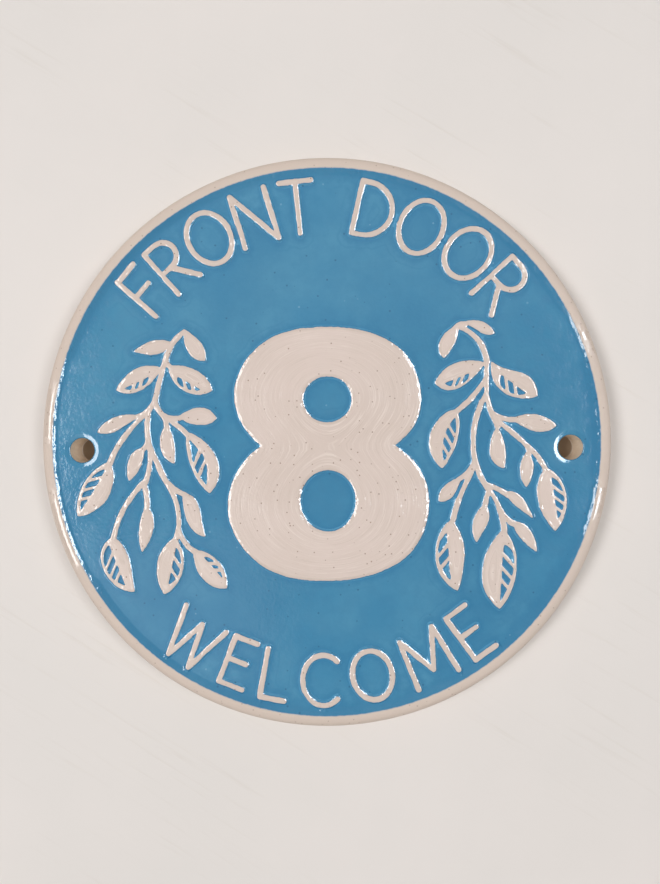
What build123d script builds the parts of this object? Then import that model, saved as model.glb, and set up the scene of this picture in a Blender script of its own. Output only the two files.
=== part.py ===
"""House number plaque: one round slab of clay with its ground carved down.

The carving leaves a rim, a figure eight and two leafy sprays at the height of the slab's face.
Millimetres, +Z up. The flat back lies on the wall at y = 0 and the face looks towards -Y.
"""
import os

from build123d import *

# Slab
plaque_diameter = 180.0
slab_thickness = 11.0
front_edge_round = 3.0
back_edge_chamfer = 1.0

# Carved ground and the rim that it leaves
carve_depth = 1.0
rim_width = 3.7  # from the slab's edge to the top of the rim's inner slope
rim_slope = 1.2  # run of that slope, down to the ground

# Screw holes, one at each side
hole_diameter = 7.8
hole_inset = 13.0  # from the slab's edge to the hole's middle
hole_drop = 2.2  # below the slab's middle
hole_lip = 0.5

# Figure eight: two bowls that overlap at the waist, each with its oval counter
number_x = 1.0
number_bottom = -43.5
number_height = 79.5
upper_bowl_width = 58.5
upper_bowl_height = 43.7
lower_bowl_width = 63.0
lower_bowl_height = 48.4
bowl_fullness = 0.733  # how far the outer shoulders swell; 0.707 is a plain oval
upper_counter_width = 15.4
upper_counter_height = 14.6
lower_counter_width = 17.7
lower_counter_height = 19.5
counter_shift = 0.8  # each counter sits this much nearer the waist than its bowl's middle

# Sprays: each hangs from its first fork, between the number and the rim
spray_height = 90.0
spray_drawn_height = 90.0  # the points below are drawn for a spray of this height
fork_height = 13.5
left_fork_shift = 4.5  # from the middle of the free field towards the number
right_fork_shift = 8.5
stem_width = 1.5
leaf_border = 0.9  # left standing round the cut slots of a veined leaf
vein_width = 1.0
vein_angle = 45.0  # between a vein and its leaf's length

# Plain leaves, from the spray's first fork: base, two points on one side, tip, two on the other side
left_plain_leaves = [
    ((5.25, 18), (1, 18.9), (-3.5, 17.6), (-6.75, 15.5), (2, 15), (-2.5, 14.5)),
    ((9.5, 22.25), (13, 19.6), (15.5, 16.25), (15.75, 12.25), (9.6, 17.5), (12, 13.4)),
    ((-4.5, -5), (-10, -4.6), (-14.5, -6.1), (-18.5, -10), (-8.25, -7.25), (-13.25, -9.9)),
    ((7.25, -5.4), (10.75, -3.3), (15.75, -2.8), (19.4, -5.9), (10.75, -7.2), (15.5, -7.8)),
    ((3.5, -8), (5.4, -11.75), (6.1, -16), (6, -20), (1.6, -12), (2.75, -17.5)),
    ((-3.5, -15), (-3.75, -18), (-6, -22.75), (-8.5, -25.5), (-7, -16.5), (-9, -21.5)),
    ((-3, -33.5), (-0.9, -37.25), (-1.75, -43.25), (-4.5, -48), (-4.75, -37.5), (-5.25, -43.5)),
    ((8.25, -29), (12.6, -31.75), (14.25, -36.75), (15.5, -43), (8.75, -34), (10.5, -39.5)),
]
right_plain_leaves = [
    ((-8.25, 22.5), (-12, 20.5), (-14.2, 16.25), (-12.75, 12.4), (-8.7, 18.9), (-10.5, 15.2)),
    ((-7, 23.25), (-3.5, 24.1), (0.75, 22.9), (2.9, 20), (-3.5, 21.7), (0, 19.9)),
    ((7.75, -6.75), (12, -5.5), (16.5, -5.6), (22, -8.9), (11.75, -9), (16.25, -10.7)),
    ((3.75, -9), (1.6, -14), (2.1, -19.5), (5.75, -22), (5.3, -12.75), (6.2, -17.5)),
    ((13.25, -16.5), (14.7, -20.5), (14.3, -24.75), (12.5, -28), (11, -20.75), (11, -25.25)),
    ((-7.5, -25), (-10.75, -26), (-13.75, -28.75), (-14.75, -32.4), (-8.5, -27.75), (-11, -31.25)),
    ((6, -29.75), (9.75, -30), (12.9, -34), (14.5, -37.5), (7.75, -32.4), (11.25, -35.3)),
    ((-0.25, -33.25), (1, -36.5), (-0.6, -41.1), (-3, -45), (-2.75, -36), (-4.1, -41)),
    ((8.5, -39), (12, -39.8), (14.75, -43.4), (15.5, -48), (9.4, -42), (12, -45.2)),
]

# Veined leaves, drawn the same way: their second side is the slotted one
left_veined_leaves = [
    ((2.25, 10), (-3, 10.75), (-8.5, 8.3), (-12.25, 3.25), (-2, 5), (-6.75, 2.5)),
    ((4.25, 10.75), (8.5, 10.7), (14.25, 8.6), (18, 3), (6.75, 4.9), (11.5, 2.1)),
    ((-14.75, -19.5), (-13.5, -25.5), (-16.75, -32.5), (-25, -36.5), (-20, -22.7), (-24.1, -29)),
    ((9.75, -10), (15.6, -13.4), (19.9, -20.75), (17, -29.5), (10.1, -16.25), (12.1, -23)),
    ((-13.75, -43), (-10.1, -46.75), (-8, -53.5), (-6.75, -60.5), (-17.6, -49.5), (-14.75, -56.5)),
    ((6.25, -43.25), (1.5, -48), (0.25, -55), (2.5, -61.25), (8.5, -49), (7.75, -55.5)),
    ((12, -47.5), (13, -53.5), (17.5, -58.4), (22.25, -59.25), (17.25, -49), (21.1, -53.4)),
]
right_veined_leaves = [
    ((0.25, 10.75), (-6, 11.45), (-11.4, 9.7), (-15.6, 4.6), (-5.1, 5.1), (-9.6, 2.7)),
    ((2, 11.25), (5.25, 9.3), (12.5, 6.9), (16.25, 0.4), (4.6, 2.6), (9, 0.15)),
    ((-8.75, -3.75), (-14.75, -6.9), (-17.4, -15.25), (-13.5, -22), (-8.2, -9.25), (-10.1, -16.5)),
    ((18.5, -22), (16.1, -27.5), (17.1, -35), (21.4, -41.6), (23.6, -26.5), (24.75, -34.75)),
    ((-10.75, -38), (-7.6, -43.5), (-7, -51.5), (-9, -60.25), (-15, -44.25), (-15.25, -52.5)),
    ((5.5, -41.25), (0.75, -47.25), (-1.25, -56.25), (4, -66), (8.7, -47.25), (9.1, -55)),
]

# Slots of each veined leaf: how far from its middle line they stop, then the shares of its length
# where they start, where each vein is left standing, and where they end
left_slots = [
    (0.6, (0.3, 0.5, 0.66, 0.88)),
    (1.6, (0.28, 0.45, 0.64, 0.85)),
    (-0.3, (0.13, 0.33, 0.51, 0.7, 0.89)),
    (-2.4, (0.13, 0.42, 0.6, 0.87)),
    (2.1, (0.09, 0.34, 0.51, 0.67, 0.88)),
    (0.7, (0.14, 0.4, 0.62, 0.84)),
    (1.0, (0.2, 0.43, 0.61, 0.87)),
]
right_slots = [
    (1.1, (0.35, 0.52, 0.66, 0.85)),
    (1.5, (0.28, 0.44, 0.64, 0.84)),
    (-1.8, (0.13, 0.34, 0.52, 0.7, 0.88)),
    (1.4, (0.14, 0.36, 0.53, 0.7, 0.87)),
    (1.8, (0.15, 0.41, 0.59, 0.9)),
    (0.1, (0.17, 0.37, 0.54, 0.7, 0.92)),
]

# Stems, from the spray's first fork, each an arc through three points that ends inside its leaf
left_stems = [
    ((9.75, 21.75), (6, 18.25), (3.25, 11.75)),
    ((3.7, 13.25), (1.1, 5), (0, 0)),
    ((3.25, 13), (3.9, 11.25), (6, 9.75)),
    ((0.1, 1), (-1.9, -2.9), (-6, -5.25)),
    ((-3.25, -4.5), (-10.5, -12.3), (-15, -21)),
    ((-2.1, -3), (-2.65, -9), (-1.5, -16)),
    ((-2.4, -12), (-3, -14.5), (-4.75, -16)),
    ((-2, -14.5), (-2, -21.5), (-4, -27.5)),
    ((-3.5, -25.75), (-10.6, -35), (-13.75, -44.5)),
    ((-3.9, -26.5), (-2.9, -30.5), (-3, -35)),
    ((-2, -14), (1.5, -22.25), (4.75, -28)),
    ((4, -26.75), (7, -34.5), (6, -45)),
    ((3.75, -26), (5.75, -28.1), (9.25, -29.9)),
    ((7, -40.5), (9.1, -45), (13, -48.25)),
    ((0, 1), (2.5, -4.7), (8.5, -5.5)),
    ((2.1, -4.5), (3.3, -6.5), (3.5, -9.5)),
    ((3, -5), (6.75, -7.8), (10.5, -11.25)),
]
right_stems = [
    ((-9.5, 21.5), (-8, 22.7), (-5.25, 22.8)),
    ((-8.5, 22.4), (-2.3, 18.3), (0.6, 10.75)),
    ((0.6, 11.5), (0.5, 6), (0.25, 0)),
    ((0.5, 6.25), (-3.2, 1.15), (-9.25, -4.5)),
    ((0.25, 1), (-3.65, -10.5), (-3, -21)),
    ((0.3, 1), (1.6, -3.8), (4.25, -9.75)),
    ((2.1, -4.75), (5, -6.45), (9, -6.9)),
    ((3.25, -7), (8.75, -11.25), (14, -16.25)),
    ((13.25, -15.5), (16.6, -19.2), (18.75, -23)),
    ((12.25, -14.5), (13.4, -16), (13.4, -18)),
    ((-3.25, -20), (-5.25, -23.1), (-8.75, -25.75)),
    ((-3, -20.5), (-8.1, -31), (-10.75, -40)),
    ((-3.4, -19), (-1.25, -25.3), (1.5, -29.5)),
    ((-0.25, -27.25), (3.25, -28.4), (7.25, -30.9)),
    ((1.25, -28), (0.4, -31), (-0.5, -35)),
    ((0.5, -28), (4.5, -35.5), (5.75, -43)),
    ((4.5, -35), (6.3, -37.8), (10, -39.9)),
]

# Worked out from the sizes above
plaque_radius = plaque_diameter / 2
ground_radius = plaque_radius - rim_width - rim_slope
ground_level = slab_thickness - carve_depth
hole_x = plaque_radius - hole_inset
hole_radius = hole_diameter / 2
upper_bowl_z = number_bottom + number_height - upper_bowl_height / 2
lower_bowl_z = number_bottom + lower_bowl_height / 2
number_half_width = lower_bowl_width / 2
oval_fullness = 0.5 ** 0.5  # on the waist side, a plain oval
left_fork_x = (number_x - number_half_width - ground_radius) / 2 + left_fork_shift
right_fork_x = (number_x + number_half_width + ground_radius) / 2 - right_fork_shift
spray_scale = spray_height / spray_drawn_height
face = Plane.XZ.offset(slab_thickness)


def placed(points):
    return [Vector(x, z) * spray_scale for x, z in points]


def smooth_side(start, first, second, end):
    """Draws one cubic curve from start to end that passes through both points between them."""
    steps = [(first - start).length, (second - first).length, (end - second).length]
    t = steps[0] / sum(steps)
    u = 1 - steps[2] / sum(steps)
    first_pull = (first - start * (1 - t) ** 3 - end * t**3) / (3 * t * (1 - t))
    second_pull = (second - start * (1 - u) ** 3 - end * u**3) / (3 * u * (1 - u))
    start_handle = (first_pull * u - second_pull * t) / (u - t)
    end_handle = (second_pull * (1 - t) - first_pull * (1 - u)) / (u - t)
    Bezier(start, start_handle, end_handle, end)


def draw_stem(start, middle, end):
    with BuildLine() as line:
        ThreePointArc(start, middle, end)
    trace(line.line, stem_width)


def draw_leaf(base, first_low, first_high, tip, second_low, second_high):
    with BuildLine() as outline:
        smooth_side(base, first_low, first_high, tip)
        smooth_side(tip, second_high, second_low, base)
    make_face(outline.edges())


def cut_slots(base, tip, slotted_low, slotted_high, rib, shares):
    """Cuts slots between the leaf's border and a line that runs rib from its middle line."""
    length = tip - base
    along = length.normalized()
    heading = Vector(1, 0).get_signed_angle(along, Vector(0, 0, 1))
    turn = vein_angle
    across = Vector(-along.Y, along.X)
    if across.dot(slotted_low - base) < 0:
        across = -across
        turn = -vein_angle
    inward = across * leaf_border
    first, *veins, last = [base + length * share for share in shares]
    width = across.dot((slotted_low + slotted_high) / 2 - base) - leaf_border
    with BuildSketch(mode=Mode.PRIVATE) as field:
        with BuildLine() as outline:
            if rib < 0:
                ThreePointArc(first, (first + last) / 2 + across * rib, last)
            else:
                Line(first, last)
            smooth_side(last, slotted_high - inward, slotted_low - inward, first)
        make_face(outline.edges())
        if rib > 0:
            with Locations((first + last) / 2):
                Rectangle(length.length, 2 * rib, rotation=heading, mode=Mode.SUBTRACT)
        for vein in veins:
            with Locations(vein + across * (width + rib) / 2):
                Rectangle(length.length, vein_width, rotation=heading + turn, mode=Mode.SUBTRACT)
    add(field.sketch, mode=Mode.SUBTRACT)


def draw_spray(stems, plain_leaves, veined_leaves, slots):
    for points in stems:
        draw_stem(*placed(points))
    for points in plain_leaves + veined_leaves:
        draw_leaf(*placed(points))
    for points, (rib, shares) in zip(veined_leaves, slots):
        base, first_low, first_high, tip, slotted_low, slotted_high = placed(points)
        cut_slots(base, tip, slotted_low, slotted_high, rib * spray_scale, shares)


with BuildSketch() as left_spray:
    draw_spray(left_stems, left_plain_leaves, left_veined_leaves, left_slots)

with BuildSketch() as right_spray:
    draw_spray(right_stems, right_plain_leaves, right_veined_leaves, right_slots)

def draw_bowl(middle_z, width, height, outward):
    side = width / 2
    end = outward * height / 2
    with BuildLine() as outline:
        Spline(
            (side, middle_z),
            (side * bowl_fullness, middle_z + end * bowl_fullness),
            (0, middle_z + end),
            (-side * bowl_fullness, middle_z + end * bowl_fullness),
            (-side, middle_z),
            (-side * oval_fullness, middle_z - end * oval_fullness),
            (0, middle_z - end),
            (side * oval_fullness, middle_z - end * oval_fullness),
            periodic=True,
        )
    make_face(outline.edges())


with BuildSketch() as number:
    draw_bowl(upper_bowl_z, upper_bowl_width, upper_bowl_height, 1)
    draw_bowl(lower_bowl_z, lower_bowl_width, lower_bowl_height, -1)
    with Locations((0, upper_bowl_z - counter_shift)):
        Ellipse(upper_counter_width / 2, upper_counter_height / 2, mode=Mode.SUBTRACT)
    with Locations((0, lower_bowl_z + counter_shift)):
        Ellipse(lower_counter_width / 2, lower_counter_height / 2, mode=Mode.SUBTRACT)

with BuildPart() as plaque:
    # Slab, softened front and back
    with BuildSketch(Plane.XZ):
        Circle(plaque_radius)
    extrude(amount=slab_thickness)
    front_edge, back_edge = plaque.edges().filter_by(GeomType.CIRCLE).sort_by(Axis.Y)
    fillet(front_edge, front_edge_round)
    chamfer(back_edge, back_edge_chamfer)

    # Ground carved away from round the number and the sprays
    with BuildSketch(face):
        Circle(ground_radius)
        with Locations((number_x, 0)):
            add(number.sketch, mode=Mode.SUBTRACT)
        with Locations((left_fork_x, fork_height)):
            add(left_spray.sketch, mode=Mode.SUBTRACT)
        with Locations((right_fork_x, fork_height)):
            add(right_spray.sketch, mode=Mode.SUBTRACT)
    extrude(amount=-carve_depth, mode=Mode.SUBTRACT)

    # Rim's inner slope
    with BuildSketch(Plane.XY):
        with BuildLine():
            Polyline(
                (ground_radius, -ground_level),
                (ground_radius, -slab_thickness),
                (ground_radius + rim_slope, -slab_thickness),
                close=True,
            )
        make_face()
    revolve(axis=Axis.Y, mode=Mode.SUBTRACT)

    # Screw holes, opened out a little where they break the ground
    with Locations(Plane.XZ.offset(ground_level)):
        with Locations((-hole_x, -hole_drop), (hole_x, -hole_drop)):
            CounterSinkHole(hole_radius, hole_radius + hole_lip, counter_sink_angle=90)

plaque.part.label = "plaque"

os.makedirs("parts", exist_ok=True)
export_step(plaque.part, "parts/plaque.step")
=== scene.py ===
import math
import random

import bmesh
import bpy
import numpy as np
from mathutils import Matrix, Vector, geometry


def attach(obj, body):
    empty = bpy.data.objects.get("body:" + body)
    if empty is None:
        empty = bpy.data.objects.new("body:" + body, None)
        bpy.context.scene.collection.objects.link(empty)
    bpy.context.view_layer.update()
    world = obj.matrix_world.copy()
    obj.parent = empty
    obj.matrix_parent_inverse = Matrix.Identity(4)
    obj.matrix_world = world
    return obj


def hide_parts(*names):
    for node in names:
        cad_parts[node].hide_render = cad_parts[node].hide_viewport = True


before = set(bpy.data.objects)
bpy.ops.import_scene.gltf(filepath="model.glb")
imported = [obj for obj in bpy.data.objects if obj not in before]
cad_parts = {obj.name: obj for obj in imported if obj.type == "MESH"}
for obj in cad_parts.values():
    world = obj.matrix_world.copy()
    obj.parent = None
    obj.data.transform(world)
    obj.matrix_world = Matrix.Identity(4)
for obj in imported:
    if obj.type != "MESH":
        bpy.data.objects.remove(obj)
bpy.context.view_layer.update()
mm = 0.001
print("frame loaded")


# Raised capitals: strokes drawn in a box one cap height tall, y up
def bend(cx, cy, rx, ry, start, end, steps=14):
    turns = [math.radians(start + (end - start) * i / steps) for i in range(steps + 1)]
    return [(cx + rx * math.cos(t), cy + ry * math.sin(t)) for t in turns]


letterStrokes = {  # width, then the strokes
    "F": (0.46, [[(0, 0), (0, 1)], [(0, 0.98), (0.46, 1)], [(0, 0.53), (0.38, 0.54)]]),
    "R": (0.54, [[(0, 0), (0, 1)], [(0, 1)] + bend(0.24, 0.74, 0.27, 0.26, 90, -90) + [(0, 0.48)],
                 [(0.22, 0.48), (0.55, 0)]]),
    "O": (0.80, [bend(0.40, 0.5, 0.40, 0.5, 0, 360, 28)]),
    "N": (0.66, [[(0, 0), (0, 1)], [(0, 1), (0.66, 0)], [(0.66, 0), (0.66, 1)]]),
    "T": (0.60, [[(0, 0.99), (0.60, 1)], [(0.30, 1), (0.31, 0)]]),
    "D": (0.66, [[(0, 0), (0, 1)], [(0, 1)] + bend(0.16, 0.5, 0.50, 0.5, 90, -90) + [(0, 0)]]),
    "W": (0.98, [[(0, 1), (0.25, 0), (0.49, 0.86), (0.73, 0), (0.98, 1)]]),
    "E": (0.48, [[(0, 0), (0, 1)], [(0, 1), (0.47, 1)], [(0, 0.52), (0.40, 0.52)], [(0, 0), (0.50, 0)]]),
    "L": (0.48, [[(0, 1), (0, 0), (0.50, 0)]]),
    "C": (0.70, [bend(0.42, 0.5, 0.42, 0.5, 48, 312, 22)]),
    "M": (0.90, [[(0, 0), (0.09, 1), (0.45, 0.22), (0.81, 1), (0.90, 0)]]),
    " ": (0.42, []),
}

signWords = {  # cap: mm tall, foot: mm from the middle, spread: degrees, side: 1 above and -1 below
    "upper": {"word": "FRONT DOOR", "cap": 16.8, "foot": 65.5, "spread": 105.0, "side": 1},
    "lower": {"word": "WELCOME", "cap": 15.6, "foot": 82.6, "spread": 80.0, "side": -1},
    "stroke": 1.5,       # mm, across a stroke
    "tilt": 2.0,         # degrees, how far a hand-cut letter leans
    "lift": 0.35,        # mm, how far it stands off its line
    "grow": 0.03,        # share by which its height varies
    "seed": 8,
}


def wordPaths(look, chance):
    cap, side = look["cap"], look["side"]
    middle = look["foot"] + side * cap / 2
    length = math.radians(look["spread"]) * middle
    widths = [letterStrokes[c][0] * cap for c in look["word"]]
    gap = (length - sum(widths)) / (len(widths) - 1)
    along = -length / 2
    paths = []
    for letter, width in zip(look["word"], widths):
        turn = (along + width / 2) / middle
        lean = math.radians(chance.uniform(-1, 1) * signWords["tilt"])
        lift = chance.uniform(-signWords["lift"], signWords["lift"])
        grow = chance.uniform(1 - signWords["grow"], 1 + signWords["grow"])
        leanCos, leanSin = math.cos(lean), math.sin(lean)
        out = (math.sin(turn), side * math.cos(turn))
        for stroke in letterStrokes[letter][1]:
            path = []
            for x, y in stroke:
                px, py = x * cap - width / 2, (y - 0.5) * cap * grow
                px, py = px * leanCos - py * leanSin, px * leanSin + py * leanCos
                far = middle + side * py + lift
                path.append((out[0] * far + side * out[1] * px, out[1] * far - side * out[0] * px))
            paths.append(path)
        along += width + gap
    return paths


# The carved field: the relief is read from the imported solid, letters are added, and every edge is softened
carvedField = {
    "half": 88.2,        # mm, half the side of the square that is read
    "cell": 0.15,        # mm
    "face": 11.0,        # mm above the back
    "faceWithin": 0.05,  # mm, what still counts as the face
    "follow": 8.0,       # mm, how far the distance to an edge is followed
    "soften": 0.13,      # mm, rounding of cut corners
    "handCut": 0.05,     # mm, how far the knife wandered
    "handRun": 2.6,      # mm, over what length
    "openGround": -1.0,  # mm from an edge
    "crisp": 0.9,        # how much steeper the sides of narrow cuts are
    "crispFrom": (1.7, 2.4),  # mm from open ground
    "cutWider": 0.2,     # mm, before they are made steeper
    "foot": -0.7,        # mm from the edge to the flat ground
    "slope": [(-0.701, 0.0), (-0.7, 1.5), (-0.4, 1.5), (-0.32, 0.56),
              (0.06, 0.5), (0.14, 0.03), (2.4, 0.0)],  # mm from the edge, rise over run
    "figureSlope": [(-0.701, 0.0), (-0.7, 1.5), (-0.4, 1.5), (-0.32, 0.56),
                    (0.4, 0.3), (0.5, 0.03), (2.4, 0.0)],
}
innerRim = {
    "foot": 85.0,        # radius where its slope begins
    "slope": [(85.0, 0.72), (86.05, 0.61), (86.35, 0.04), (87.0, 0.0)],  # radius, rise over run
    "wander": (3, 3.0, 1.6),  # seed, mm along, how far
    "steep": [(171.0, 9.5), (-167.0, 17.5), (23.0, 6.0), (-14.0, 6.5)],  # degrees, half the length
    "steepEnds": 1.5,    # degrees to either side, over which such a length eases
    "ease": 1.7,         # how much longer the slope runs elsewhere
    "skinRadius": 87.0,  # the rim is turned from here outwards
    "edge": 90.0,        # radius of the plaque
}
fineStep = 0.01          # mm, for adding up a slope
slopeRun = np.arange(-1.0, 3.0, fineStep)


def riseOf(slope):
    return np.cumsum(np.interp(slopeRun, *zip(*slope), left=0, right=0)) * fineStep


slopeRise, figureRise = riseOf(carvedField["slope"]), riseOf(carvedField["figureSlope"])
figureRise *= slopeRise[-1] / figureRise[-1]
groundLevel = carvedField["face"] - slopeRise[-1]
cell, half = carvedField["cell"], carvedField["half"]
cells = int(round(2 * half / cell))
axisLine = (np.arange(cells) + 0.5) * cell - half


def reliefMask(solid):
    mesh = solid.data
    mesh.calc_loop_triangles()
    corners = np.empty(len(mesh.loop_triangles) * 3, np.int32)
    mesh.loop_triangles.foreach_get("vertices", corners)
    points = np.empty(len(mesh.vertices) * 3, np.float32)
    mesh.vertices.foreach_get("co", points)
    triangles = points.reshape(-1, 3)[corners.reshape(-1, 3)] / mm
    top = (triangles[:, :, 1] < carvedField["faceWithin"] - carvedField["face"]).all(1)
    inner = np.hypot(triangles[:, :, 0], triangles[:, :, 2]).max(1) < innerRim["foot"]
    mask = np.zeros((cells, cells), bool)
    for triangle in triangles[top & inner][:, :, [0, 2]]:
        low = np.clip(((triangle.min(0) + half) / cell - 1).astype(int), 0, cells)
        high = np.clip(((triangle.max(0) + half) / cell + 2).astype(int), 0, cells)
        x = axisLine[low[0]:high[0]][None, :]
        z = axisLine[low[1]:high[1]][:, None]
        (ax, az), (bx, bz), (cx, cz) = triangle
        one = (bx - ax) * (z - az) - (bz - az) * (x - ax)
        two = (cx - bx) * (z - bz) - (cz - bz) * (x - bx)
        three = (ax - cx) * (z - cz) - (az - cz) * (x - cx)
        inside = ((one >= 0) & (two >= 0) & (three >= 0)) | ((one <= 0) & (two <= 0) & (three <= 0))
        mask[low[1]:high[1], low[0]:high[0]] |= inside
    return mask


def distanceTo(mask, follow=carvedField["follow"]):
    reach = int(follow / cell)
    far = np.where(mask, 0.0, 4.0 * reach).astype(np.float32)
    for row in range(1, cells):
        np.minimum(far[row], far[row - 1] + 1, out=far[row])
    for row in range(cells - 2, -1, -1):
        np.minimum(far[row], far[row + 1] + 1, out=far[row])
    far = np.minimum(far, reach) ** 2
    best = far.copy()
    for step in range(1, reach + 1):
        np.minimum(best[:, step:], far[:, :-step] + step * step, out=best[:, step:])
        np.minimum(best[:, :-step], far[:, step:] + step * step, out=best[:, :-step])
    return np.sqrt(best) * cell


def softened(field, spread):
    reach = int(spread / cell * 3)
    weights = np.exp(-0.5 * (np.arange(-reach, reach + 1) * cell / spread) ** 2)
    weights /= weights.sum()
    for turn in range(2):
        padded = np.pad(field, ((reach, reach), (0, 0)), mode="edge")
        field = sum(w * padded[i:i + cells] for i, w in enumerate(weights)).T
    return field.astype(np.float32)


def addStroke(field, path, width):
    margin = carvedField["follow"]
    for (ax, az), (bx, bz) in zip(path, path[1:]):
        left, right = np.searchsorted(axisLine, (min(ax, bx) - margin, max(ax, bx) + margin))
        low, high = np.searchsorted(axisLine, (min(az, bz) - margin, max(az, bz) + margin))
        x, z = axisLine[left:right][None, :], axisLine[low:high][:, None]
        dx, dz = bx - ax, bz - az
        share = np.clip(((x - ax) * dx + (z - az) * dz) / (dx * dx + dz * dz), 0, 1)
        away = np.hypot(x - ax - share * dx, z - az - share * dz)
        part = field[low:high, left:right]
        np.maximum(part, width / 2 - away, out=part)


def carveField(relief):
    toGround, toRelief = distanceTo(~relief), distanceTo(relief)
    field = np.where(relief, toGround - cell / 2, cell / 2 - toRelief).astype(np.float32)
    chance = random.Random(signWords["seed"])
    for name in ("upper", "lower"):
        for path in wordPaths(signWords[name], chance):
            addStroke(field, path, signWords["stroke"])
    field = softened(field, carvedField["soften"])

    # Narrow cuts, far from open ground, are wider and steeper
    toOpen = distanceTo(field < carvedField["openGround"])
    share = np.clip((toOpen - carvedField["crispFrom"][0]) / np.ptp(carvedField["crispFrom"]), 0, 1)
    share = share * share * (3 - 2 * share)
    field = field * (1 + carvedField["crisp"] * share) - carvedField["cutWider"] * share

    knife = np.random.RandomState(signWords["seed"]).standard_normal((cells, cells)).astype(np.float32)
    knife = softened(knife, carvedField["handRun"] / 2)
    field += knife * (carvedField["handCut"] / knife.std())
    return field


def rimField():
    radius = np.hypot(axisLine[None, :], axisLine[:, None])
    seed, along, far = innerRim["wander"]
    radius += softened(np.random.RandomState(seed).standard_normal((cells, cells)), along) * far
    turn = np.degrees(np.arctan2(axisLine[:, None], axisLine[None, :]))
    steep = np.zeros((cells, cells))
    ends, ease = innerRim["steepEnds"], innerRim["ease"]
    for middle, reach in innerRim["steep"]:
        apart = np.abs((turn - middle + 180) % 360 - 180)
        steep = np.maximum(steep, np.clip((reach + ends - apart) / (2 * ends), 0, 1))
    run = ease + (1 - ease) * steep * steep * (3 - 2 * steep)
    top = innerRim["slope"][2][0]
    radius = np.where(radius < top, top - (top - radius) / run, radius)
    steps = np.arange(innerRim["foot"], innerRim["edge"], fineStep)
    rise = np.cumsum(np.interp(steps, *zip(*innerRim["slope"]))) * fineStep
    rising = slopeRun > carvedField["foot"] - fineStep / 2
    level = np.interp(radius, steps, rise * slopeRise[-1] / rise[-1])
    level = np.interp(level, slopeRise[rising], slopeRun[rising])
    ground = carvedField["foot"] + radius - innerRim["foot"]
    return np.where(radius < innerRim["foot"], ground, level)


relief = reliefMask(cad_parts["plaque"])
edgeField = carveField(relief)
np.maximum(edgeField, rimField().astype(np.float32), out=edgeField)
print("carved field read,", int(relief.sum()), "raised cells")

# The figure, whose brush lines run between its outline and its two openings
figureBox = {
    "left": -31.2, "right": 33.2, "low": -44.6, "high": 37.5,
    "openings": [(0.5, 15.5), (0.5, -19.0)],  # their middles
    "openingReach": 12.5,  # mm from there
    "width": 20.0,       # what a line counts from the outline to an opening
    "follow": 26.0,      # mm, how far both are followed
    "smooth": 1.6,       # mm, rounding of the brush lines
    "near": 1.5,         # mm, how far its own slope reaches out
    "nearBlend": 0.4,    # mm, over which that gives way
}


def brushField():
    x, z = axisLine[None, :], axisLine[:, None]
    inBox = (x > figureBox["left"]) & (x < figureBox["right"])
    inBox = inBox & (z > figureBox["low"]) & (z < figureBox["high"])
    body = relief & inBox
    openings = np.zeros_like(body)
    for middle in figureBox["openings"]:
        near = np.hypot(x - middle[0], z - middle[1]) < figureBox["openingReach"]
        openings |= near & ~relief
    toOutline = distanceTo(~(body | openings), figureBox["follow"])
    toOpening = distanceTo(openings, figureBox["follow"])
    run = figureBox["width"] * toOutline / (toOutline + toOpening + cell)
    near = distanceTo(body, 2 * figureBox["near"]) < figureBox["near"]
    near = softened(near, figureBox["nearBlend"])
    return body.astype(np.float32), softened(run, figureBox["smooth"]), near


figureField, brushRun, nearFigure = brushField()


def sampled(points, field=edgeField):
    at = np.clip((np.asarray(points, float) + half) / cell - 0.5, 0, cells - 1.001)
    i, j = at[:, 0].astype(int), at[:, 1].astype(int)
    u, v = at[:, 0] - i, at[:, 1] - j
    return ((field[j, i] * (1 - u) + field[j, i + 1] * u) * (1 - v)
            + (field[j + 1, i] * (1 - u) + field[j + 1, i + 1] * u) * v)


# Lines of equal distance to an edge, which the skin's edges follow
contourSteps = [  # mm from the edge, mm between points
    (-6.0, 2.4), (-4.0, 1.8), (-2.6, 1.3), (-1.7, 1.0), (-1.1, 0.7), (-0.7, 0.5), (-0.4, 0.5), (-0.32, 0.5),
    (-0.13, 0.5), (0.06, 0.5), (0.14, 0.5), (0.36, 0.55), (0.6, 0.55), (1.0, 0.8), (1.6, 1.0), (2.4, 1.3),
    (3.6, 1.6), (5.0, 1.8), (7.0, 2.0),
]
shortestLoop = 1.5       # mm round it
fewestPoints = 7
cellCases = {  # corners above the level: left-low 1, right-low 2, right-high 4, left-high 8
    1: "lb", 2: "br", 3: "lr", 4: "rt", 5: "ltbr", 6: "bt", 7: "lt",
    8: "tl", 9: "bt", 10: "lbrt", 11: "rt", 12: "lr", 13: "br", 14: "lb",
}


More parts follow.
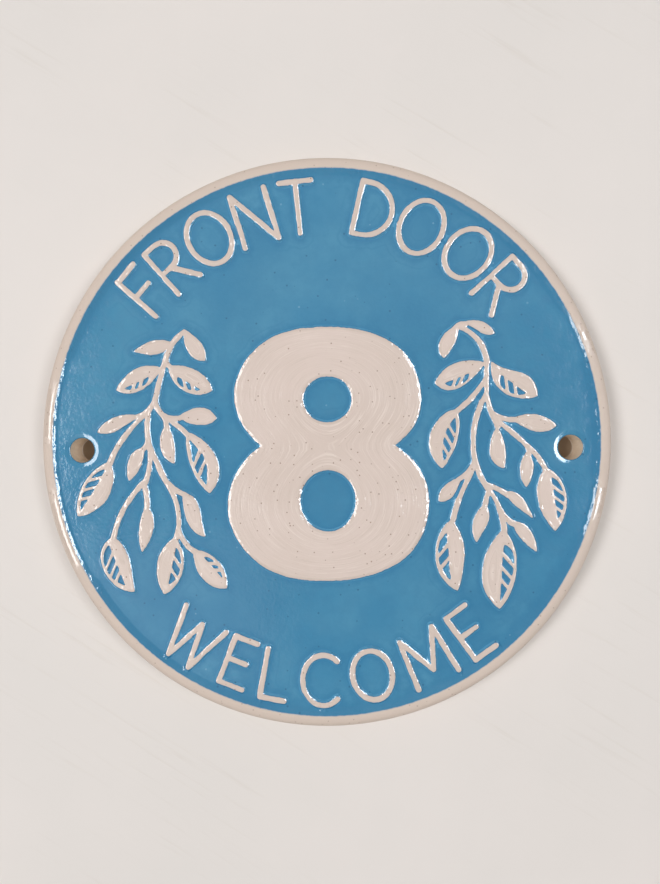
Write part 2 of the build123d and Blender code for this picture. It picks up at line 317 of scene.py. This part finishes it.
def contourLoops(level, spacing):
    above = edgeField > level
    code = (above[:-1, :-1] * 1 + above[:-1, 1:] * 2 + above[1:, 1:] * 4 + above[1:, :-1] * 8)
    links = {}
    for case, sides in cellCases.items():
        j, i = np.nonzero(code == case)
        ids = {"b": 2 * (j * cells + i), "t": 2 * ((j + 1) * cells + i),
               "l": 2 * (j * cells + i) + 1, "r": 2 * (j * cells + i + 1) + 1}
        for k in range(0, len(sides), 2):
            for a, b in zip(ids[sides[k]].tolist(), ids[sides[k + 1]].tolist()):
                links.setdefault(a, []).append(b)
                links.setdefault(b, []).append(a)
    loops = []
    while links:
        chain = [next(iter(links))]
        while True:
            options = links.pop(chain[-1])
            ahead = [k for k in options if k in links]
            if not ahead:
                break
            chain.append(ahead[0])
        ids = np.array(chain)
        j, i, upright = ids // 2 // cells, ids // 2 % cells, ids % 2
        first, second = edgeField[j, i], edgeField[j + upright, i + 1 - upright]
        share = (level - first) / (second - first)
        loop = np.stack([axisLine[i] + (1 - upright) * share * cell, axisLine[j] + upright * share * cell], 1)
        closed = np.vstack([loop, loop[:1]])
        run = np.concatenate([[0], np.cumsum(np.hypot(*np.diff(closed, axis=0).T))])
        if run[-1] < shortestLoop:
            continue
        count = max(fewestPoints, int(round(run[-1] / spacing)))
        at = np.linspace(0, run[-1], count, endpoint=False)
        loops.append(np.stack([np.interp(at, run, closed[:, 0]), np.interp(at, run, closed[:, 1])], 1))
    return loops


screwHoles = {
    "places": [(-77.0, -2.2), (77.0, -2.2)],
    "radius": 3.9,
    "lip": [(1.6, 0.0), (1.4, -0.014), (1.2, -0.045), (0.95, -0.092),
            (0.7, -0.14), (0.48, -0.184), (0.32, -0.225), (0.18, -0.29),
            (0.08, -0.39), (0.015, -0.56), (0.0, -0.86), (0.0, -1.4)],  # mm wider, mm above the ground
    "glazeEnd": -0.8,    # mm above the ground, below which the clay is bare
    "bore": (6.0, 3.0),  # mm above the back
    "backEase": 0.25,    # mm
    "sides": 96,
}
holeEdge = screwHoles["radius"] + screwHoles["lip"][0][0]

# The rim and the back are turned from the skin's edge: radius, mm above the back
rimTurn = {
    "sides": 640,
    "line": [(87.3, 10.95), (87.7, 10.87), (88.15, 10.73), (88.6, 10.5), (89.05, 10.18),
             (89.45, 9.75), (89.75, 9.2), (89.93, 8.6), (90.0, 8.0), (90.0, 4.5),
             (90.0, 1.1), (89.85, 0.55), (89.5, 0.15), (89.0, 0.0), (87.5, 0.0)],
    "glazeEnd": 2.0,     # mm above the back, below which the clay is bare
    "sharpFrom": 40.0,   # degrees between faces
}
skinGrid = {  # mm that points keep clear of a hole's edge, the skin's edge and the contours
    "holeRing": (0.5, 80),  # mm from a hole's edge, points round it
    "contourFromHole": 0.65, "contourFromRim": 0.2,
    "looseFromHole": 1.5, "looseFromRim": 1.2, "looseFromContour": 0.55,
    "spacing": 2.3,      # mm between loose points on open ground
    "rows": 0.866,       # of that between their rows
}


def holeDistance(points):
    return np.min([np.hypot(points[:, 0] - x, points[:, 1] - z) for x, z in screwHoles["places"]], 0)


def circleOf(x, z, radius, sides):
    turns = np.arange(sides) * 2 * math.pi / sides
    return np.stack([x + radius * np.cos(turns), z + radius * np.sin(turns)], 1)


def skinPlan():
    plan, joins = [], []
    skinRadius = innerRim["skinRadius"]

    def addLoop(loop, keep=None):
        base = len(plan)
        places = {}
        for k, point in enumerate(loop):
            if keep is None or keep[k]:
                places[k] = base + len(places)
                plan.append(Vector(point))
        for k in range(len(loop)):
            after = (k + 1) % len(loop)
            if k in places and after in places:
                joins.append((places[k], places[after]))

    addLoop(circleOf(0, 0, skinRadius, rimTurn["sides"]))
    wider, sides = skinGrid["holeRing"]
    for x, z in screwHoles["places"]:
        addLoop(circleOf(x, z, holeEdge, screwHoles["sides"]))
        addLoop(circleOf(x, z, holeEdge + wider, sides))
    for level, spacing in contourSteps:
        for loop in contourLoops(level, spacing):
            clear = np.hypot(loop[:, 0], loop[:, 1]) < skinRadius - skinGrid["contourFromRim"]
            addLoop(loop, clear & (holeDistance(loop) > holeEdge + skinGrid["contourFromHole"]))
    spare = skinGrid["spacing"]
    rows = np.arange(-half, half, spare * skinGrid["rows"])
    columns = np.arange(-half, half, spare)
    grid = np.array([(x + spare / 2 * (k % 2), z) for k, z in enumerate(rows) for x in columns])
    reached = sampled(grid)
    nearest = np.min([np.abs(reached - level) for level, _ in contourSteps], 0)
    free = nearest > skinGrid["looseFromContour"]
    free &= holeDistance(grid) > holeEdge + skinGrid["looseFromHole"]
    free &= np.hypot(grid[:, 0], grid[:, 1]) < skinRadius - skinGrid["looseFromRim"]
    plan.extend(Vector(point) for point in grid[free])
    return plan, joins


def slopeHeight(points):
    away, share = sampled(points), sampled(points, nearFigure)
    rise = np.interp(away, slopeRun, slopeRise)
    return groundLevel + rise + share * (np.interp(away, slopeRun, figureRise) - rise)


glazeSlot, claySlot = 0, 1
ringWithin = 0.4         # mm, for finding the skin's loose edges
holeWithin = 0.02        # mm, for finding the faces that fill a hole


def buildPlaque():
    plan, joins = skinPlan()
    laid = geometry.delaunay_2d_cdt(plan, joins, [], 0, 1e-4)
    flat = np.array([tuple(v) for v in laid[0]])
    corners = np.array([face[:3] for face in laid[2]])
    holeFlats = holeEdge * math.cos(math.pi / screwHoles["sides"])
    kept = holeDistance(flat[corners].mean(1)) > holeFlats - holeWithin
    mesh = bpy.data.meshes.new("carvedPlaque")
    places = np.stack([flat[:, 0], -slopeHeight(flat), flat[:, 1]], 1) * mm
    mesh.from_pydata(places.tolist(), [], corners[kept].tolist())
    print("skin laid,", len(flat), "points,", int(kept.sum()), "faces")

    skin = bmesh.new()
    skin.from_mesh(mesh)
    bmesh.ops.delete(skin, geom=[v for v in skin.verts if not v.link_faces], context="VERTS")
    loose = [e for e in skin.edges if e.is_boundary]
    skinEdge = (innerRim["skinRadius"] - ringWithin) * mm
    rings = [[e for e in loose if e.verts[0].co.xz.length > skinEdge]] + [
        [e for e in loose if (e.verts[0].co.xz - Vector(spot) * mm).length < (holeEdge + ringWithin) * mm]
        for spot in screwHoles["places"]
    ]

    def pulled(ring, centre, radius, height, slot):
        made = bmesh.ops.extrude_edge_only(skin, edges=ring)["geom"]
        for v in (g for g in made if isinstance(g, bmesh.types.BMVert)):
            off = (v.co.xz - centre).normalized() * radius * mm
            v.co = (centre.x + off.x, -height * mm, centre.y + off.y)
        for f in (g for g in made if isinstance(g, bmesh.types.BMFace)):
            f.material_index = slot
        return [g for g in made if isinstance(g, bmesh.types.BMEdge) and g.is_boundary]

    for radius, up in rimTurn["line"]:
        slot = glazeSlot if up > rimTurn["glazeEnd"] else claySlot
        rings[0] = pulled(rings[0], Vector((0, 0)), radius, up, slot)
    bore, ease = screwHoles["radius"], screwHoles["backEase"]
    for k, spot in enumerate(screwHoles["places"], 1):
        centre = Vector(spot) * mm
        for wider, drop in screwHoles["lip"][1:]:
            slot = glazeSlot if drop > screwHoles["glazeEnd"] else claySlot
            rings[k] = pulled(rings[k], centre, bore + wider, groundLevel + drop, slot)
        for up in (*screwHoles["bore"], ease):
            rings[k] = pulled(rings[k], centre, bore, up, claySlot)
        rings[k] = pulled(rings[k], centre, bore + ease, 0, claySlot)
    ends = [e for ring in rings for e in ring]
    back = bmesh.ops.triangle_fill(skin, use_beauty=True, edges=ends, normal=(0, 1, 0))
    for f in (g for g in back["geom"] if isinstance(g, bmesh.types.BMFace)):
        f.material_index = claySlot
    bmesh.ops.recalc_face_normals(skin, faces=skin.faces)
    for f in skin.faces:
        f.smooth = True
    gaps = sum(not e.is_manifold for e in skin.edges)
    skin.to_mesh(mesh)
    skin.free()
    mesh.set_sharp_from_angle(angle=math.radians(rimTurn["sharpFrom"]))

    # What the glaze has to know at each point
    points = np.empty(len(mesh.vertices) * 3, np.float32)
    mesh.vertices.foreach_get("co", points)
    points = points.reshape(-1, 3)[:, [0, 2]] / mm
    away = sampled(points)
    figure = sampled(points, figureField)
    run = np.where(figure > 0.5, sampled(points, brushRun), away)
    for name, values in (("edgeDistance", away), ("figure", figure), ("brushRun", run)):
        mesh.attributes.new(name, "FLOAT", "POINT").data.foreach_set("value", values.astype(np.float32))
    plaque = bpy.data.objects.new("carvedPlaque", mesh)
    bpy.context.scene.collection.objects.link(plaque)
    mesh.calc_loop_triangles()
    print("plaque closed,", len(mesh.loop_triangles), "triangles,", gaps, "open edges")
    return plaque


plaque = buildPlaque()


# Shader helpers: a node with its values and links in one call
def node(tree, kind, links=None, **values):
    made = tree.nodes.new(kind)
    for key, value in values.items():
        setattr(made, key, value)
    for socket, source in (links or {}).items():
        if hasattr(source, "is_output"):
            tree.links.new(source, made.inputs[socket])
        else:
            made.inputs[socket].default_value = source
    return made


def colour(red, green, blue):
    def linear(c):
        c /= 255
        return c / 12.92 if c <= 0.04045 else ((c + 0.055) / 1.055) ** 2.4
    return (linear(red), linear(green), linear(blue), 1)


def sums(tree, operation, *terms):
    return node(tree, "ShaderNodeMath", dict(enumerate(terms)), operation=operation).outputs[0]


def times(tree, first, second):
    return sums(tree, "MULTIPLY", first, second)


def ramp(tree, value, low, high, toLow=0.0, toHigh=1.0, smooth=True):
    made = node(tree, "ShaderNodeMapRange", {0: value, 1: low, 2: high, 3: toLow, 4: toHigh},
                interpolation_type="SMOOTHSTEP" if smooth else "LINEAR")
    return made.outputs[0]


def mixed(tree, share, first, second):
    return node(tree, "ShaderNodeMix", {0: share, 6: first, 7: second}, data_type="RGBA").outputs[2]


def noise(tree, vector, scale, detail=2.0, rough=0.5, warp=0.0):
    made = node(tree, "ShaderNodeTexNoise", {"Vector": vector, "Scale": scale, "Detail": detail,
                                             "Roughness": rough, "Distortion": warp})
    return made.outputs["Fac"]


def centred(tree, value):
    return sums(tree, "SUBTRACT", value, 0.5)


def bump(tree, strength, depth, height, under=None):
    links = {"Strength": strength, "Distance": depth, "Height": height}
    if under is not None:
        links["Normal"] = under
    return node(tree, "ShaderNodeBump", links).outputs[0]


def group(name, inputs, outputs):
    made = bpy.data.node_groups.new(name, "ShaderNodeTree")
    for socket, kind in inputs:
        made.interface.new_socket(socket, in_out="INPUT", socket_type=kind)
    for socket, kind in outputs:
        made.interface.new_socket(socket, in_out="OUTPUT", socket_type=kind)
    start = made.nodes.new("NodeGroupInput")
    end = made.nodes.new("NodeGroupOutput")
    return made, start.outputs, end.inputs


def specksGroup():
    tree, start, end = group("claySpecks", [("Vector", "NodeSocketVector"), ("Scale", "NodeSocketFloat"),
                                            ("Size", "NodeSocketFloat"), ("Share", "NodeSocketFloat")],
                             [("Specks", "NodeSocketFloat")])
    grains = node(tree, "ShaderNodeTexVoronoi", {"Vector": start["Vector"], "Scale": start["Scale"]})
    dot = ramp(tree, sums(tree, "DIVIDE", grains.outputs["Distance"], start["Size"]), 0.55, 1.0, 1.0, 0.0)
    pick = node(tree, "ShaderNodeSeparateColor", {0: grains.outputs["Color"]}).outputs[0]
    chosen = sums(tree, "LESS_THAN", pick, start["Share"])
    tree.links.new(times(tree, dot, chosen), end["Specks"])
    return tree


def mottleGroup():
    tree, start, end = group("clayMottle", [("Vector", "NodeSocketVector"), ("Scale", "NodeSocketFloat")],
                             [("Broad", "NodeSocketFloat"), ("Fine", "NodeSocketFloat")])
    tree.links.new(ramp(tree, noise(tree, start["Vector"], start["Scale"], 3, 0.55), 0.3, 0.7), end["Broad"])
    fineScale = times(tree, start["Scale"], 9.0)
    tree.links.new(ramp(tree, noise(tree, start["Vector"], fineScale, 4, 0.6), 0.3, 0.7), end["Fine"])
    return tree


claySpecks, clayMottle = specksGroup(), mottleGroup()


def mottled(tree, place, scale):
    return node(tree, "ShaderNodeGroup", {"Vector": place, "Scale": scale}, node_tree=clayMottle).outputs


def specked(tree, place, specks):
    links = {"Vector": place, "Scale": specks[0], "Size": specks[1], "Share": specks[2]}
    return node(tree, "ShaderNodeGroup", links, node_tree=claySpecks).outputs["Specks"]


def material(name):
    made = bpy.data.materials.new(name)
    made.use_nodes = True
    tree = made.node_tree
    shader = next(n for n in tree.nodes if n.type == "BSDF_PRINCIPLED")
    place = node(tree, "ShaderNodeTexCoord").outputs["Object"]
    return made, tree, shader, place


glazedFace = {
    "blue": colour(61, 135, 174), "pooled": colour(44, 120, 162), "thin": colour(79, 147, 181),
    "cream": colour(224, 207, 198), "creamDeepAndShade": colour(207, 191, 179), "rim": colour(207, 190, 177),
    "streak": colour(235, 221, 212), "iron": colour(140, 110, 92), "darkSpeck": colour(40, 92, 124),
    # The last colour on the next line is painted light, a paler blue that lifts the shade on the relief's
    # steep foot
    "paleSpeck": colour(120, 172, 198), "paintedFootLight": colour(96, 168, 206),
    "mottle": 38.0,      # patches to the metre
    "darkSpecks": (310.0, 0.13, 0.5),  # to the metre, size, share of them
    "paleSpecks": (210.0, 0.09, 0.4),
    "flecks": (500.0, 0.15, 0.75),
    "brushAcross": 3.3,  # lines to a count of the brush run
    "brushAlong": 85.0,  # to the metre
    "paintedLightEnd": (0.0826, 0.0834),  # metres from the middle, as the next three
    "rimFrom": (0.0840, 0.0842),
    "rimTop": (0.0858, 0.0863),
    "rimSide": (0.0886, 0.0894),
    "wetTop": [(175.0, 6.2), (-162.2, 7.3), (20.9, 2.0), (-13.2, 2.9)],  # degrees, half the length
    "wetEnds": 1.5,      # degrees to either side
    "rough": (0.09, 0.17),
    "dryRough": 0.7,     # more than that
    "waves": (0.08, 0.0006),  # strength, metres deep
    "ripples": (0.45, 0.00012),
    "knocks": (0.6, 0.0007),
    "ridges": (0.5, 0.00015),
}


def makeGlazedFace():
    made, tree, shader, place = material("blueAndClearGlaze")
    look = glazedFace
    away, figure, run = (node(tree, "ShaderNodeAttribute", attribute_name=name).outputs["Fac"]
                         for name in ("edgeDistance", "figure", "brushRun"))
    axes = node(tree, "ShaderNodeSeparateXYZ", {0: place}).outputs
    radius = sums(tree, "ADD", times(tree, axes[0], axes[0]), times(tree, axes[2], axes[2]))
    radius = sums(tree, "SQRT", radius)
    onRim = ramp(tree, radius, *look["rimFrom"])
    mottle = mottled(tree, place, look["mottle"])

    # Blue ground: thinner in cloudy patches, deeper in others and beside the carved edges
    blue = mixed(tree, mottle["Broad"], look["blue"], look["thin"])
    clouds = ramp(tree, noise(tree, place, 16.0, 3, 0.6), 0.42, 0.68, 0.0, 0.6)
    blue = mixed(tree, clouds, blue, look["pooled"])
    blue = mixed(tree, times(tree, mottle["Fine"], 0.22), blue, look["pooled"])
    beside = ramp(tree, sums(tree, "ADD", away, times(tree, mottle["Fine"], 0.9)), -2.6, -0.4)
    blue = mixed(tree, times(tree, beside, 0.5), blue, look["pooled"])

    # A faint line drawn round the relief, and painted light on the steep foot: a paler blue that offsets the
    # shade its slope gets
    lineFrom = ramp(tree, noise(tree, place, 160.0, 2), 0.2, 0.8, 2.6, 4.2)
    apart = sums(tree, "ABSOLUTE", sums(tree, "ADD", away, lineFrom))
    scored = times(tree, ramp(tree, apart, 0.1, 0.5, 1.0, 0.0), ramp(tree, mottle["Broad"], 0.3, 0.7))
    blue = mixed(tree, times(tree, scored, 0.2), blue, look["pooled"])
    # Painted light: paler blue on the steep foot, where the slope would shade darker, fading out towards the
    # rim
    paintedFootShare = times(tree, ramp(tree, away, -0.85, -0.62), ramp(tree, away, -0.4, -0.2, 1.0, 0.0))
    paintedFootShare = times(tree, paintedFootShare, ramp(tree, radius, *look["paintedLightEnd"], 0.7, 0.0))
    blue = mixed(tree, paintedFootShare, blue, look["paintedFootLight"])
    blue = mixed(tree, times(tree, specked(tree, place, look["darkSpecks"]), 0.55), blue, look["darkSpeck"])
    blue = mixed(tree, times(tree, specked(tree, place, look["paleSpecks"]), 0.5), blue, look["paleSpeck"])

    # Cream relief: clear glaze over clay, brushed along the figure's outline, with iron flecks and painted
    # shade towards its edges
    cream = mixed(tree, times(tree, mottle["Broad"], 0.35), look["cream"], look["creamDeepAndShade"])
    across = node(tree, "ShaderNodeCombineXYZ", {0: times(tree, run, look["brushAcross"]),
                                                 1: times(tree, axes[0], look["brushAlong"]),
                                                 2: times(tree, axes[2], look["brushAlong"])}).outputs[0]
    brush = noise(tree, across, 1.0, 3, 0.65, 0.35)
    patchy = ramp(tree, noise(tree, place, 55.0, 1), 0.35, 0.65, 0.35, 1.0)
    inside = ramp(tree, away, 0.3, 1.2)
    streaks = times(tree, times(tree, ramp(tree, brush, 0.52, 0.64), inside), patchy)
    cream = mixed(tree, times(tree, streaks, 0.75), cream, look["streak"])
    furrow = times(tree, ramp(tree, brush, 0.44, 0.3), inside)
    cream = mixed(tree, times(tree, furrow, 0.55), cream, look["creamDeepAndShade"])
    # Painted shade: the cream darkens towards the relief's edge, over its rounded shoulder
    cream = mixed(tree, ramp(tree, away, 1.3, 0.1, 0.0, 0.45), cream, look["creamDeepAndShade"])
    flecks = specked(tree, place, look["flecks"])
    cream = mixed(tree, times(tree, flecks, 0.7), cream, look["iron"])
    cream = mixed(tree, onRim, cream, mixed(tree, times(tree, flecks, 0.5), look["rim"], look["iron"]))

    # Where one glaze meets the other, on the relief and on the rim
    wander = times(tree, centred(tree, noise(tree, place, 700.0, 2)), 0.3)
    raised = ramp(tree, sums(tree, "ADD", away, wander), -0.18, 0.02)
    rimTop = ramp(tree, sums(tree, "ADD", radius, times(tree, wander, mm)), *look["rimTop"])
    offRim = times(tree, sums(tree, "SUBTRACT", 1.0, onRim), raised)
    creamShare = sums(tree, "ADD", times(tree, onRim, rimTop), offRim)
    tree.links.new(mixed(tree, creamShare, blue, cream), shader.inputs["Base Color"])

    # Gloss: the rim's top is dry but for a few wet lengths
    turn = sums(tree, "ARCTAN2", axes[2], axes[0])
    turn = sums(tree, "ADD", turn, times(tree, centred(tree, mottle["Fine"]), 0.08))
    rimSide = ramp(tree, radius, *look["rimSide"])
    dry = rimTop
    for middle, reach in look["wetTop"]:
        apart = sums(tree, "ABSOLUTE", sums(tree, "SUBTRACT", turn, math.radians(middle)))
        ends = ramp(tree, apart, math.radians(reach - look["wetEnds"]), math.radians(reach + look["wetEnds"]))
        dry = times(tree, dry, sums(tree, "MAXIMUM", ends, rimSide))
    rough = ramp(tree, mottle["Fine"], 0, 1, *look["rough"], False)
    rough = sums(tree, "ADD", rough, times(tree, dry, look["dryRough"]))
    tree.links.new(rough, shader.inputs["Roughness"])

    # The glaze's waves, knocks on the carved slopes, and the brush's ridges
    surface = bump(tree, *look["waves"], noise(tree, place, 120.0, 2, 0.5, 0.3))
    surface = bump(tree, *look["ripples"], noise(tree, place, 900.0, 2), surface)
    onSlope = ramp(tree, sums(tree, "ABSOLUTE", away), 0.3, 0.8, 1.0, 0.0)
    dents = centred(tree, noise(tree, place, 420.0, 2))
    surface = bump(tree, *look["knocks"], times(tree, dents, onSlope), surface)
    ridges = times(tree, times(tree, brush, figure), ramp(tree, away, 0.2, 1.0))
    surface = bump(tree, *look["ridges"], ridges, surface)
    tree.links.new(surface, shader.inputs["Normal"])
    shader.inputs["IOR"].default_value = 1.6
    shader.inputs["Specular IOR Level"].default_value = 0.7
    return made


bareClay = {
    "clay": colour(230, 215, 196), "dark": colour(204, 183, 160), "iron": colour(130, 102, 82),
    "mottle": 60.0,      # patches to the metre
    "flecks": (260.0, 0.14, 0.25),  # to the metre, size, share of them
    "grit": (0.5, 0.0002),  # strength, metres deep
}


def makeBareClay():
    made, tree, shader, place = material("bareClay")
    look = bareClay
    mottle = mottled(tree, place, look["mottle"])
    body = mixed(tree, times(tree, mottle["Broad"], 0.5), look["clay"], look["dark"])
    body = mixed(tree, times(tree, mottle["Fine"], 0.3), body, look["dark"])
    body = mixed(tree, times(tree, specked(tree, place, look["flecks"]), 0.8), body, look["iron"])
    tree.links.new(body, shader.inputs["Base Color"])
    grit = bump(tree, *look["grit"], noise(tree, place, 1400.0, 4, 0.65))
    tree.links.new(grit, shader.inputs["Normal"])
    shader.inputs["Roughness"].default_value = 0.85
    return made


plaque.data.materials.append(makeGlazedFace())
plaque.data.materials.append(makeBareClay())
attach(plaque, "root")
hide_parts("plaque")
print("glazes made")


# The pale wall that the plaque hangs on, seen through from behind
paintedWall = {
    "size": 3.2,
    "behind": 0.0004,    # metres from the plaque's back
    "paint": colour(228, 222, 218), "shade": colour(224, 219, 215),
    "stroke": colour(216, 209, 202), "darkBehindHole": colour(138, 122, 104),
    "darkSpot": (0.0036, 0.0044),  # metres, radius and where its edge ends
    "strokeTurn": -32.0,  # degrees
    "strokeLength": 26.0,  # times its width
    "strokeDepth": (0.12, 0.0004),  # strength, metres deep
}


def makeWall():
    shape = bmesh.new()
    bmesh.ops.create_grid(shape, x_segments=2, y_segments=2, size=paintedWall["size"] / 2)
    bmesh.ops.rotate(shape, verts=shape.verts, matrix=Matrix.Rotation(math.radians(90), 3, "X"))
    bmesh.ops.translate(shape, verts=shape.verts, vec=(0, paintedWall["behind"], 0))
    mesh = bpy.data.meshes.new("paintedWall")
    shape.to_mesh(mesh)
    shape.free()
    wall = bpy.data.objects.new("paintedWall", mesh)
    bpy.context.scene.collection.objects.link(wall)

    made, tree, shader, place = material("wallPaint")
    angle = math.radians(paintedWall["strokeTurn"])
    turned = node(tree, "ShaderNodeVectorRotate", {"Vector": place, "Angle": angle}, rotation_type="Y_AXIS")
    stretch = (1.0, 1.0, paintedWall["strokeLength"])
    stretched = node(tree, "ShaderNodeMapping", {"Vector": turned.outputs[0], "Scale": stretch}).outputs[0]
    strokes = noise(tree, stretched, 18.0, 4, 0.65, 0.3)
    clouds = noise(tree, place, 9.0, 4, 0.6)
    brushed = times(tree, ramp(tree, strokes, 0.55, 0.75), ramp(tree, clouds, 0.45, 0.6))
    paint = mixed(tree, ramp(tree, clouds, 0.3, 0.7), paintedWall["paint"], paintedWall["shade"])
    paint = mixed(tree, times(tree, brushed, 0.5), paint, paintedWall["stroke"])
    # A darker disc on the wall behind each screw hole, which darkens the hole's far end
    for x, z in screwHoles["places"]:
        spot = (x * mm, paintedWall["behind"], z * mm)
        apart = node(tree, "ShaderNodeVectorMath", {0: place, 1: spot}, operation="DISTANCE").outputs["Value"]
        darkBehindHole = ramp(tree, apart, *paintedWall["darkSpot"], 1.0, 0.0)
        paint = mixed(tree, darkBehindHole, paint, paintedWall["darkBehindHole"])
    tree.links.new(paint, shader.inputs["Base Color"])
    tree.links.new(bump(tree, *paintedWall["strokeDepth"], brushed), shader.inputs["Normal"])
    shader.inputs["Roughness"].default_value = 0.7
    shader.inputs["Specular IOR Level"].default_value = 0.2
    behind = node(tree, "ShaderNodeNewGeometry").outputs["Backfacing"]
    clear = node(tree, "ShaderNodeBsdfTransparent").outputs[0]
    either = node(tree, "ShaderNodeMixShader", {0: behind, 1: shader.outputs[0], 2: clear})
    output = next(n for n in tree.nodes if n.type == "OUTPUT_MATERIAL")
    tree.links.new(either.outputs[0], output.inputs["Surface"])
    mesh.materials.append(made)
    wall.visible_shadow = False


makeWall()


studioLight = {  # place in metres, size, watts, what it lights
    "leftWindow": ((-0.585, -0.684, 0.0), (0.3, 0.85), 6.0, "gloss"),
    "rightWindow": ((0.578, -0.677, 0.141), (0.28, 0.66), 9.0, "gloss"),
    "lowWindow": ((-0.4, -1.2, -0.36), (0.5, 0.35), 0.25, "gloss"),
    "frontWindow": ((0.0, -1.25, 0.42), (0.9, 0.4), 0.2, "both"),
    "leftKey": ((-1.07, -1.65, 0.1), (0.5, 0.5), 18.5, "colour"),
    "rightFill": ((1.1, -1.6, 0.1), (0.5, 0.5), 10.5, "colour"),
    "frontFill": ((0.0, -2.0, -0.1), (1.2, 1.2), 5.0, "colour"),
    "behind": ((0.0, 1.4, 0.0), (1.0, 1.0), 12.0, "colour"),
}
lampTint = (1.0, 0.99, 0.98)
skyTint = {"rightWindow": (0.86, 0.93, 1.0)}
roomLight = {"strength": 0.27, "tint": (0.93, 0.92, 0.91, 1)}


def makeLights():
    for name, (spot, size, watts, lights) in studioLight.items():
        lamp = bpy.data.lights.new(name, "AREA")
        lamp.shape = "RECTANGLE"
        lamp.size, lamp.size_y = size
        lamp.energy = watts
        lamp.color = skyTint.get(name, lampTint)
        holder = bpy.data.objects.new(name, lamp)
        holder.location = spot
        holder.rotation_euler = (-Vector(spot)).to_track_quat("-Z", "Y").to_euler()
        holder.visible_glossy = lights != "colour"
        holder.visible_diffuse = lights != "gloss"
        bpy.context.scene.collection.objects.link(holder)
    world = bpy.data.worlds.new("room")
    bpy.context.scene.world = world
    world.use_nodes = True
    ground = next(n for n in world.node_tree.nodes if n.type == "BACKGROUND")
    ground.inputs["Color"].default_value = roomLight["tint"]
    ground.inputs["Strength"].default_value = roomLight["strength"]


makeLights()


photoCamera = {
    "place": (0.00610, -0.21903, -0.00005),
    "right": (0.99976, 0.0209, -0.0066), "up": (0.0066, 0.0001, 0.99998), "back": (0.0209, -0.99978, 0.0),
    "lens": 27.04, "sensor": 36.0, "nearest": 0.01,
}


def makeCamera():
    lens = bpy.data.cameras.new("photoCamera")
    lens.sensor_fit = "VERTICAL"
    lens.sensor_height = photoCamera["sensor"]
    lens.lens = photoCamera["lens"]
    lens.clip_start = photoCamera["nearest"]
    holder = bpy.data.objects.new("photoCamera", lens)
    turn = Matrix((photoCamera["right"], photoCamera["up"], photoCamera["back"])).transposed()
    holder.matrix_world = Matrix.Translation(photoCamera["place"]) @ turn.to_4x4()
    bpy.context.scene.collection.objects.link(holder)
    bpy.context.scene.camera = holder


makeCamera()
bpy.context.scene.view_settings.view_transform = "Standard"
print("stage set")
